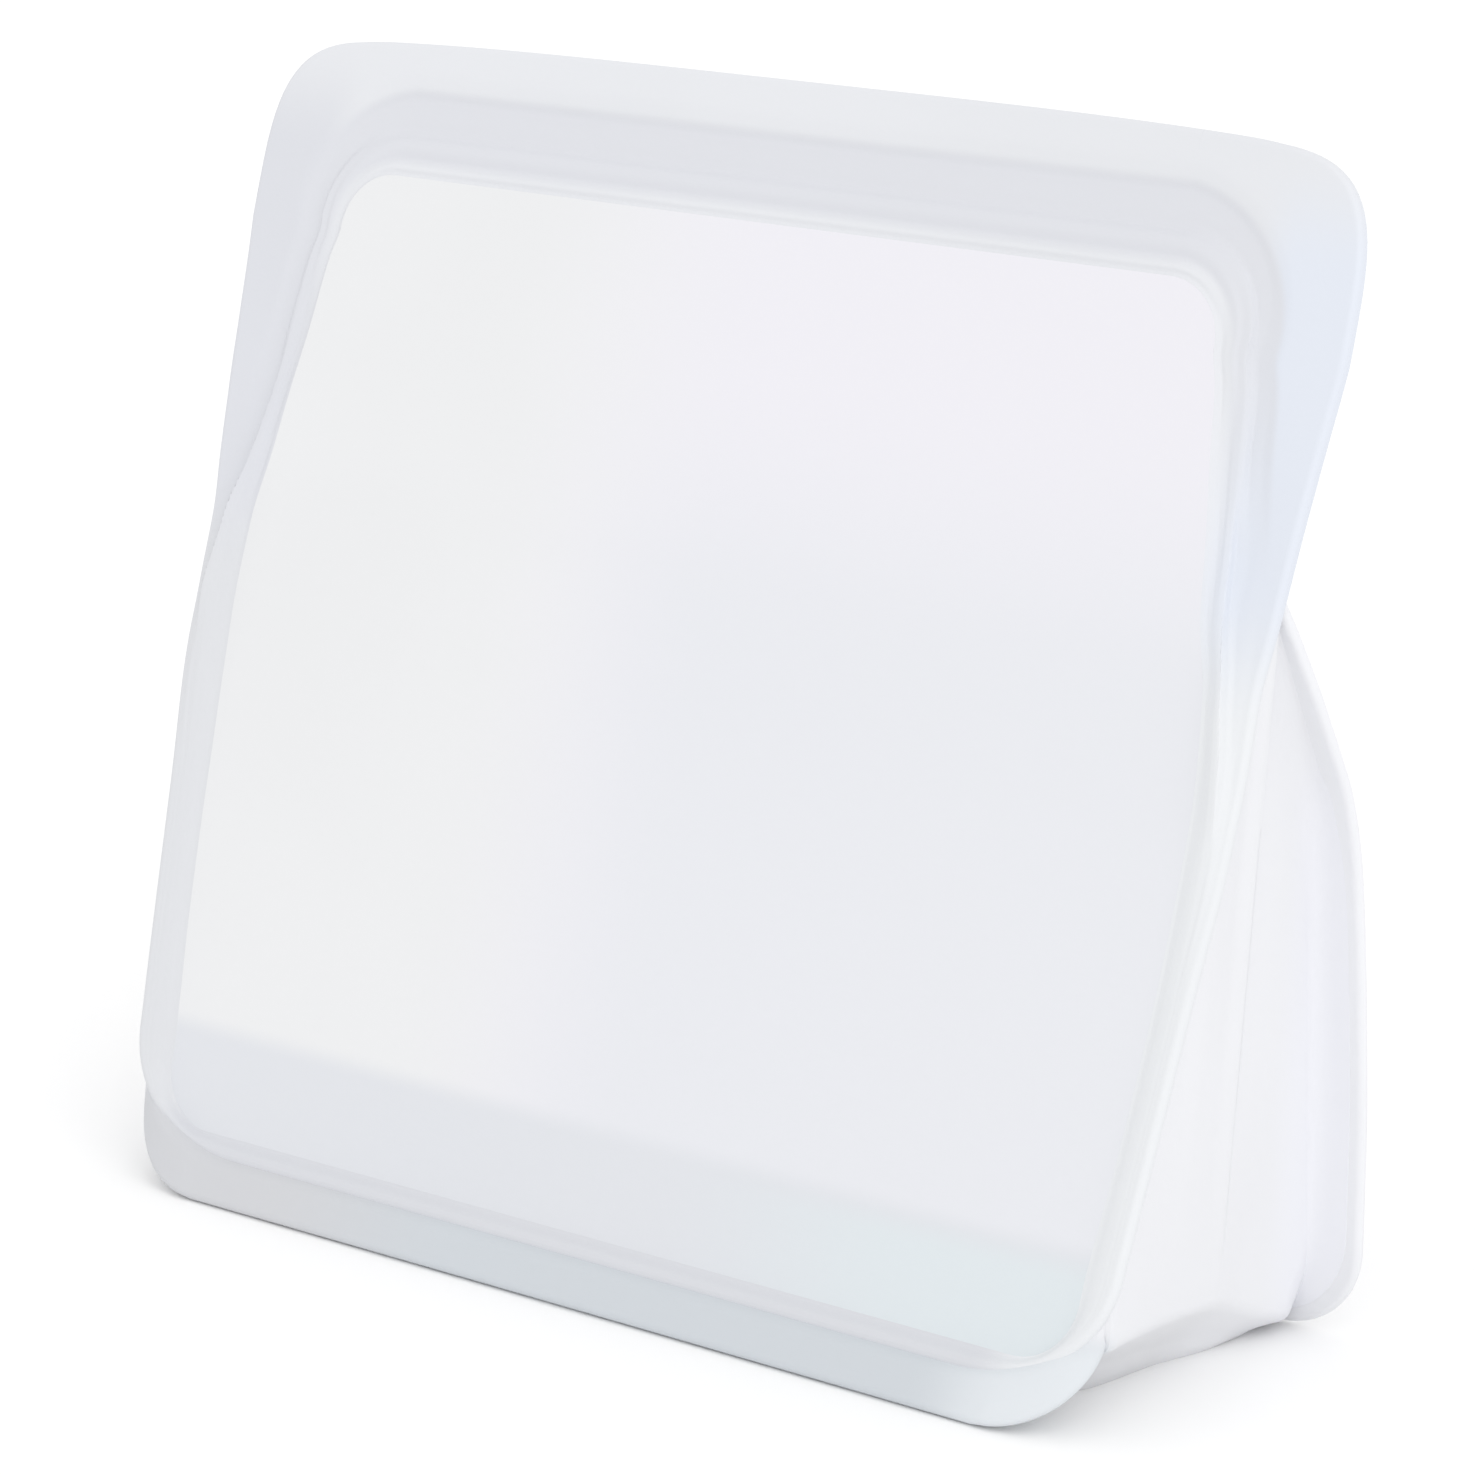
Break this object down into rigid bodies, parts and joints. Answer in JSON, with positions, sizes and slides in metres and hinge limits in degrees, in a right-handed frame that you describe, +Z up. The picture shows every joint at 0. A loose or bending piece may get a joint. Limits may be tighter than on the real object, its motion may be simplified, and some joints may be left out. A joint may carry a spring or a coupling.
{
  "type": "reusable silicone storage bag",
  "caption": "Frosted silicone stand-up storage bag, closed along a press seal across its top, leaning on an opened gusset with a kicked-out back leg",
  "frame": {"origin": "on the floor plane, centred under the whole bag's bounding box", "axes": "+Z up, -Y the front panel's side, +X to the right seen from the front"},
  "size_m": [0.2, 0.0571, 0.1737],
  "materials": {
    "wall_silicone": "frosted translucent silicone sheet, satin outside",
    "border_silicone": "frosted translucent silicone, thicker moulded border",
    "gusset_silicone": "frosted translucent silicone, thinner folding sheet",
    "seal_silicone": "frosted translucent silicone, moulded lips and press seal"
  },
  "bodies": {
    "front_shell": {"front_panel": "wall_silicone", "front_flange_left": "border_silicone", "front_flange_right": "border_silicone", "front_flange_bottom": "border_silicone", "front_shoulder_left": "border_silicone", "front_shoulder_right": "border_silicone", "side_seam_left": "border_silicone", "side_seam_right": "border_silicone", "base_gusset": "gusset_silicone", "base_end_left": "gusset_silicone", "base_end_right": "gusset_silicone", "side_gusset_left": "gusset_silicone", "side_gusset_right": "gusset_silicone"},
    "front_lip": {"front_lip_wall": "seal_silicone", "front_lip_rim": "seal_silicone", "front_lip_ridge": "seal_silicone", "front_seal_rib": "seal_silicone"},
    "back_wall": {"back_wall_upper": "wall_silicone", "back_shoulder_left": "border_silicone", "back_shoulder_right": "border_silicone", "back_lip_wall": "seal_silicone", "back_lip_rim": "seal_silicone", "back_seal_channel": "seal_silicone"},
    "back_leg": {"back_leg_panel": "wall_silicone", "back_flange_left": "border_silicone", "back_flange_right": "border_silicone", "back_flange_bottom": "border_silicone"}
  },
  "joints": [
    {"name": "leg_fold", "type": "hinge", "parent": "front_shell", "child": "back_leg", "pos_m": [0, 0.01126, 0.11271], "axis": [-1, 0, 0], "range_deg": [0, 24], "stiffness_Nm_per_rad": 0.25, "deforming": ["base_gusset", "base_end_left", "base_end_right", "side_gusset_left", "side_gusset_right"]},
    {"name": "mouth_open", "type": "hinge", "parent": "front_shell", "child": "back_wall", "pos_m": [0, 0.01126, 0.11271], "axis": [-1, 0, 0], "range_deg": [0, 20], "stiffness_Nm_per_rad": 0.12},
    {"name": "front_lip_peel", "type": "hinge", "parent": "front_shell", "child": "front_lip", "pos_m": [0, 0.01909, 0.15321], "axis": [1, 0, 0], "range_deg": [0, 40], "stiffness_Nm_per_rad": 0.05}
  ]
}
